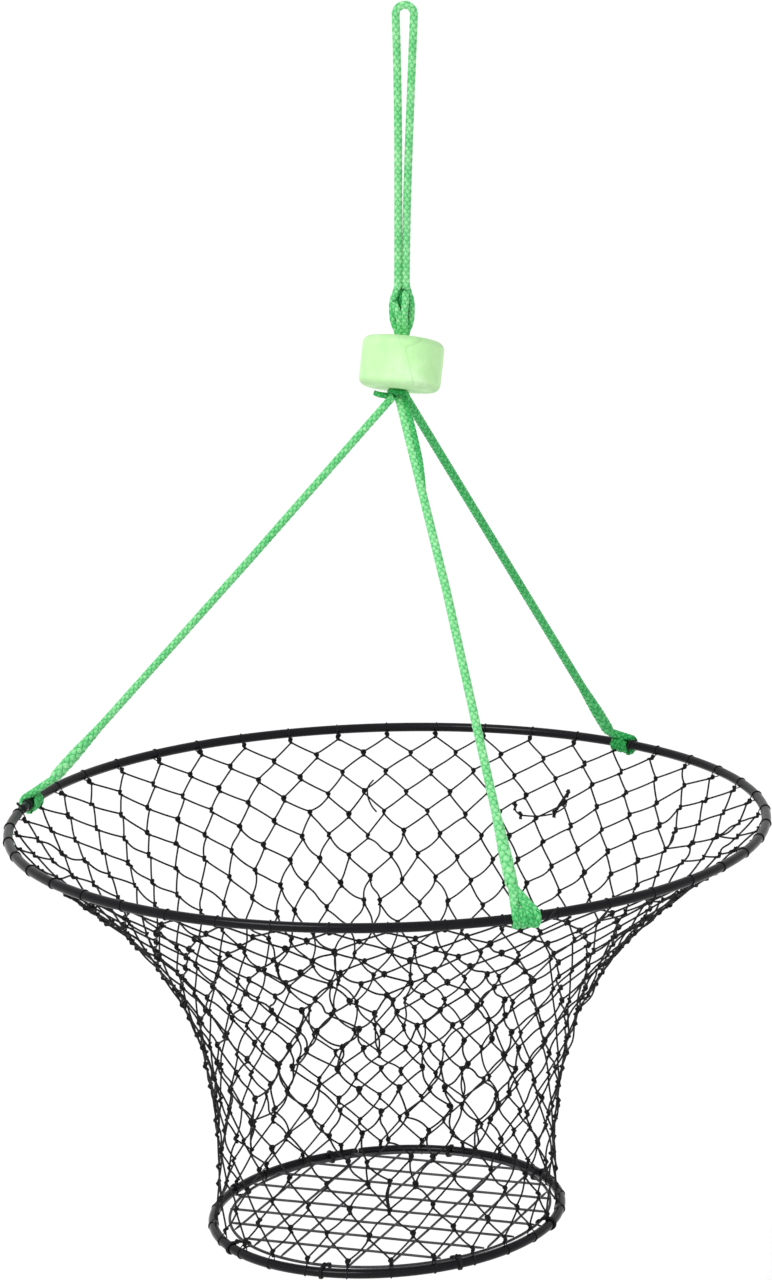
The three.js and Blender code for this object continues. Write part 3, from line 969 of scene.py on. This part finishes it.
def make_loop_knot():
    """The knot that closes the loop: two strands bow round it, two more cross its front and two its
    back, and one is seen between them. The back strands are painted darker and the one between them
    darkest: painted shade."""
    outer_left = [(-4, 0, 27), (-5.6, 0, 20), (-8.6, 0, 11), (-9.2, 0, 2), (-8, 0, -9), (-4.6, 0, -18),
                  (-3.2, 0, -23)]
    outer_right = [(4.2, 0, 27), (5.8, 0.5, 20), (8.6, 0, 11), (9.0, 0, 1), (8, -1, -9),
                   (4.8, -1, -18), (3.6, 0, -23)]
    front = [(3.4, -3, 20), (3.2, -6, 12), (2.6, -7, 4), (2, -7, -5), (2.6, -4.5, -15), (2.6, -2, -23)]
    crossing = [(-7.6, -4, 9), (-5.2, -6.8, 3), (-2.6, -7.2, -4), (-1.6, -5, -13), (-1.4, -2, -22)]
    back = [(-7, 3.5, 12), (-3, 6.6, 8), (2, 7, 2), (3, 6, -6), (0.6, 4.6, -15), (0.6, 1, -23)]
    behind = [(7, 3.5, 10), (3, 6.4, 6), (-3, 6.8, 0), (-3.5, 5.6, -8), (-1, 4, -16), (-1, 1, -23)]
    centre = [(-0.5, 1, 22), (-0.5, 1, 8), (-0.3, 1, -6), (0, 0, -23)]
    # each route's shade darkens its colour as painted shade: most for the back strands and the one
    # between them
    routes = [(outer_left, -0.1), (outer_right, -0.1), (front, -0.05), (crossing, -0.05),
              (back, -0.25), (behind, -0.25), (centre, -0.5)]
    rope, inside = Tubes(), Tubes()
    for points, shade in routes:
        line = rounded(KNOT_CENTRE + spline(points, 8) * MM, 1 * MM, 2)
        braid(rope, inside, line, 3.8 * MM, shade=shade)
    make_rope("loop_knot", rope, inside, ["loop_knot"])


def make_stopper():
    """Under the float: one turn round the legs' heads, its tail poking out to the left, and the
    three strands that run up through the float."""
    axis = unit(FLOAT_AXIS)
    under = FLOAT_CENTRE - axis * (FLOAT_HEIGHT / 2)
    across = unit(np.cross((0, 1, 0), FLOAT_AXIS))
    away = np.cross(axis, across)
    turn = np.radians(np.linspace(170, 560, 40))
    size = np.linspace(8.4, 7.4, 40) * MM
    ring = (under + np.outer(size * np.cos(turn), across) + np.outer(size * np.sin(turn), away)
            - np.outer(np.linspace(2.8, 4.5, 40) * MM, axis))
    rope, inside = Tubes(), Tubes()
    # painted shadow: here and below, the stopper's rope lies in the float's shadow and is drawn darker,
    # with shades below zero
    braid(rope, inside, rounded(ring, 1 * MM, 3), 2.9 * MM, shade=-0.4)
    tail = [(-23.6, 0, -3.4), (-19, -2, -4.6), (-13, -2, -5.6), (-6.6, 0, -6.6), (0.4, 3, -7.4)]
    line = rounded(under + spline(tail, 6) * MM, 1 * MM, 2)
    braid(rope, inside, line, np.linspace(2.8, 3.8, len(line)) * MM, shade=-0.35)
    top = FLOAT_CENTRE + axis * (FLOAT_HEIGHT / 2 + 1.5 * MM)
    for k in range(3):
        angle = math.radians(90 + 120 * k)
        shift = (across * math.cos(angle) + away * math.sin(angle)) * 3.9 * MM
        foot = under - axis * 7 * MM
        braid(rope, inside, resampled([top + shift, foot + shift], 2 * MM), 3.3 * MM, shade=-0.3)
    make_rope("stopper", rope, inside, ["stopper_knot", "rope_core"])


WRAP_RADIUS = 7.4 * MM  # from the hoop's centre to a wrap's centre
WRAPS = 3
WRAP_PITCH = 6.8 * MM
SPLICE_RADIUS = 6.4 * MM  # of a leg where its tail is worked back into it
SPLICE_LENGTH = 80 * MM
LEG_HEAD = 14 * MM  # of each leg that runs on into the stopper knot


def leg_places(leg):
    """The leg's start, the point where it parts, its direction up and its lashing's azimuth."""
    azimuth = math.radians(leg["azimuth"])
    foot = askew(on_hoop(UPPER, UPPER_RADIUS, azimuth + leg["foot_offset"] * MM / UPPER_RADIUS))
    start = np.array(leg["start"]) * MM
    up_leg = unit(start - foot)
    return start, foot + up_leg * leg["split"] * MM, up_leg, azimuth


def wrapped(azimuth, drift, section):
    """Points on the rope's turns round the hoop, from places along the hoop and section angles."""
    return askew(on_hoop(UPPER, UPPER_RADIUS, azimuth + drift / UPPER_RADIUS, section, WRAP_RADIUS))


def add_knot_tail(rope, inside, leg_line):
    """The stopper knot's other tail lies along the right of the middle leg."""
    down = unit(leg_line[20] - leg_line[0])
    right = unit(np.cross(down, (0, 1, 0)))
    right *= np.sign(right[0])
    beside = right * 4.6 * MM
    line = [leg_line[0] + beside * share + down * far * MM
            for far, share in ((0, 0.6), (20, 1.1), (50, 1.2), (85, 1.0), (108, 0.6))]
    line = rounded(spline(line, 8), 1 * MM, 2)
    size = np.interp(np.linspace(0, 1, len(line)), (0, 0.7, 1), (3.6, 3.4, 1.8)) * MM
    braid(rope, inside, line, size, shade=-0.3)


def make_leg(leg):
    """One leg: down from the stopper knot, thicker where its tail is worked back into it, then parted
    above the hoop, wound round it, and back up into itself."""
    name = leg["name"]
    start, split, up_leg, azimuth = leg_places(leg)
    side = math.copysign(1, leg["foot_offset"])
    outward = outwards(azimuth)
    lean = math.atan2(up_leg[2], up_leg @ outward)
    first = lean - math.pi / 2  # the rope meets the hoop on its outer side
    half = WRAPS * WRAP_PITCH / 2
    rope, inside = Tubes(), Tubes()

    turns = np.linspace(0, 2 * math.pi * (WRAPS - 0.28), int(WRAPS * 16))
    drift = side * (half - WRAP_PITCH * turns / (2 * math.pi))
    head = start + np.array((leg["aside"], 0, 0)) * MM
    into_knot = head + unit(head - split) * LEG_HEAD
    straight = resampled([into_knot, start + 0.4 * (split - start), split], 2 * MM)
    line = rounded(np.vstack([straight, wrapped(azimuth, drift, first - turns)]), 1 * MM, 5)
    along = lengths_along(line)
    from_split = along - lengths_along(straight)[-1]
    on_wraps = np.clip((from_split - 0.6 * leg["split"] * MM) / (6 * MM), 0, 1)
    tucked = np.clip((along[-1] - along) / (8 * MM), 0, 1)
    splice = (np.clip((from_split + SPLICE_LENGTH) / (45 * MM), 0, 1)
              * np.clip(-from_split / (6 * MM), 0, 1))
    rope_size = leg["size"] * MM
    size = rope_size + (SPLICE_RADIUS - rope_size) * splice - 0.5 * MM * on_wraps
    size *= 0.6 + 0.4 * tucked
    hoop_turn = np.arctan2(line[:, 0] - UPPER[0], -(line[:, 1] - UPPER[1]))
    flatter = unit(line - askew(on_hoop(UPPER, UPPER_RADIUS, hoop_turn)))
    # painted shade: the rope is drawn darker on its turns round the hoop
    shade = leg["shade"] - 0.18 * on_wraps
    braid(rope, inside, line, size, squeeze=(flatter, 1 - 0.30 * on_wraps), shade=shade)

    # the strands that come back up: one from the far end of the turns, one from the pass before it
    across = unit(np.cross(outward, up_leg))
    for place, below, lift in ((-side * half, math.radians(150), 8 * MM),
                               (-side * (half - WRAP_PITCH), math.radians(25), 3 * MM)):
        section = first - np.linspace(below, 0, 12)
        round_hoop = wrapped(azimuth, np.full(12, place), section)
        toward = 2 * MM * np.sign((round_hoop[-1] - split) @ across) * across
        line = rounded(np.vstack([round_hoop, resampled([round_hoop[-1], split + toward], 2 * MM)[1:],
                                  [split + 0.5 * toward + up_leg * lift]]), 1 * MM, 4)
        size = np.full(len(line), 0.93 * rope_size)
        size[-6:] *= np.linspace(1, 0.6, 6)
        # painted shade: these strands are drawn darker, most near the hoop
        braid(rope, inside, line, size, shade=leg["shade"] - np.linspace(0.18, 0.05, len(line)))

    if name == "middle":
        add_knot_tail(rope, inside, straight)

    replaced = [f"bridle_leg_{name}", f"leg_splice_{name}", f"hoop_lashing_{name}"]
    for tubes, title, material in ((rope, "leg_rope_", ROPE_GREEN), (inside, "leg_inside_", ROPE_INSIDE_SHADE)):
        piece = tubes.make(title + name, material, None, replaced if tubes is rope else [], "green_rope")
        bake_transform(piece)


def make_twine_ends():
    """A turn of black twine with a curled end beside each lashing."""
    ends = Tubes()
    for leg in LEGS:
        azimuth = math.radians(leg["azimuth"])
        side = math.copysign(1, leg["foot_offset"])
        drift = -side * (WRAPS * WRAP_PITCH / 2 + 5.5 * MM)
        turn = azimuth + drift / UPPER_RADIUS
        angles = np.linspace(0, 2 * math.pi, 20)
        ring = on_hoop(UPPER, UPPER_RADIUS, turn + 0.003 * angles, angles, LOOP_ROUND_HOOP)
        out = outwards(turn)
        forward = np.cross((0, 0, -side), out)
        curl = [(0, 0, 0), (1.5, 1.5, 1.5), (3.5, 2.5, 4), (5.5, 1, 5), (6.5, -1, 3)]
        tail = [ring[-1] + (a * forward + b * out + c * np.array((0, 0, 1))) * MM for a, b, c in curl]
        ends.add(rounded(np.vstack([ring, tail[1:]]), 0.9 * MM, 2), TWINE, tone=rng.random())
    ends.make("lashing_twine", TWINE_BLACK, "upper_hoop", [], "black_twine", askew)


make_carry_loop()
make_loop_knot()
make_stopper()
for leg in LEGS:
    make_leg(leg)
make_twine_ends()

# ------------ float


def crease(azimuth, height, points, width, deep):
    """How far a crease along a few (azimuth, height) points dents the float, in millimetres."""
    line = spline([(a, h, 0) for a, h in points], 10)[:, :2]
    x = np.stack([azimuth * 40, height], axis=-1)
    along = np.stack([line[:, 0] * 40, line[:, 1]], axis=-1)
    gap = np.linalg.norm(x[:, None, :] - along[None], axis=2).min(axis=1)
    return deep * np.exp(-(gap / width) ** 2)


def float_profile(radius, half, bore, edge):
    """The float's outline from the bore's foot, round the outside and back, in millimetres."""
    profile = [(bore, -half), (bore + 0.8, -half - 0.1)]
    profile += [(r, -half) for r in np.linspace(bore + 3, radius - edge, 12)]
    for t in np.linspace(0, math.pi / 2, 14)[1:]:
        profile.append((radius - edge + edge * math.sin(t), -half + edge - edge * math.cos(t)))
    profile += [(radius, h) for h in np.linspace(-half + edge, half - edge, 46)[1:-1]]
    for t in np.linspace(0, math.pi / 2, 14):
        profile.append((radius - edge + edge * math.cos(t), half - edge + edge * math.sin(t)))
    profile += [(r, half) for r in np.linspace(radius - edge, bore + 3, 12)[1:]]
    profile += [(bore + 0.8, half - 0.1), (bore, half)]
    return np.array(profile)


# Creases of the float as (turn in radians from its front, height in millimetres), with their depth.
CREASES = [
    ([(0.42, 22), (0.22, 16), (0.06, 11.5), (0.15, 0), (0.26, -12), (0.34, -21)], 0.45),
    ([(-0.17, 24), (-0.12, 18), (0.02, 12.5)], 0.25),
    ([(0.15, -19.4), (0.5, -19.0), (0.9, -19.6)], 0.25),
    ([(2.2, 24), (2.5, 5), (2.4, -22)], 0.5),
    ([(-1.9, -24), (-1.7, 2), (-1.8, 20)], 0.3),
]


def make_float():
    """A foam cylinder with rounded edges, slightly dented and creased by its handling."""
    around = 400
    edge, bore = 8.0, 8.7
    half, radius = FLOAT_HEIGHT / MM / 2, FLOAT_RADIUS / MM
    profile = float_profile(radius, half, bore, edge)
    rings = len(profile)
    turns = np.linspace(-math.pi, math.pi, around, endpoint=False)
    turn = np.tile(turns, rings)
    r = np.repeat(profile[:, 0], around)
    h = np.repeat(profile[:, 1], around)
    rim = np.clip((r - bore) / (radius - bore), 0, 1) ** 2
    sharp = sum(crease(turn, h, points, 1.1, deep) for points, deep in CREASES)
    broad = sum(crease(turn, h, points, 4.0, 0.6 * deep) for points, deep in CREASES)
    flats = 0.9 * np.cos(turn + 0.5) ** 8 + 0.7 * np.maximum(np.cos(turn - 0.9), 0) ** 10
    bulge = 0.5 * np.sin(3 * turn + 0.4) + 0.3 * np.sin(5 * turn + h / 12)
    near_side = np.clip((r - radius + edge) / edge, 0, 1)
    corner = near_side * np.clip((np.abs(h) - half + edge) / edge, 0, 1)
    # painted shade: the rounded edges and the creases get a low tone, which the foam paints greyer
    wear_and_painted_shade = 1 - 0.5 * corner - 0.30 * np.clip(sharp, 0, 1)
    r = r - rim * (sharp + broad + flats - 0.5 * bulge)
    h = h + rim * 0.6 * np.sin(2 * turn + 1.1) * h / half
    axis = unit(FLOAT_AXIS)
    front = unit(np.array((0, -1, 0)) + axis * axis[1])
    right = np.cross(axis, front)
    places = FLOAT_CENTRE + MM * (np.outer(r * np.cos(turn), front) + np.outer(r * np.sin(turn), right)
                                  + np.outer(h, axis))
    faces = []
    for i in range(rings):
        for j in range(around):
            k = (j + 1) % around
            n = (i + 1) % rings
            faces.append((i * around + j, i * around + k, n * around + k, n * around + j))
    mesh = bpy.data.meshes.new("foam_float")
    mesh.from_pydata(places.tolist(), [], faces)
    mesh.attributes.new("tone", "FLOAT", "POINT").data.foreach_set("value", wear_and_painted_shade.astype(np.float32))
    mesh.shade_smooth()
    mesh.materials.append(FOAM)
    placed("foam_float", mesh, "float", ["float"])


make_float()
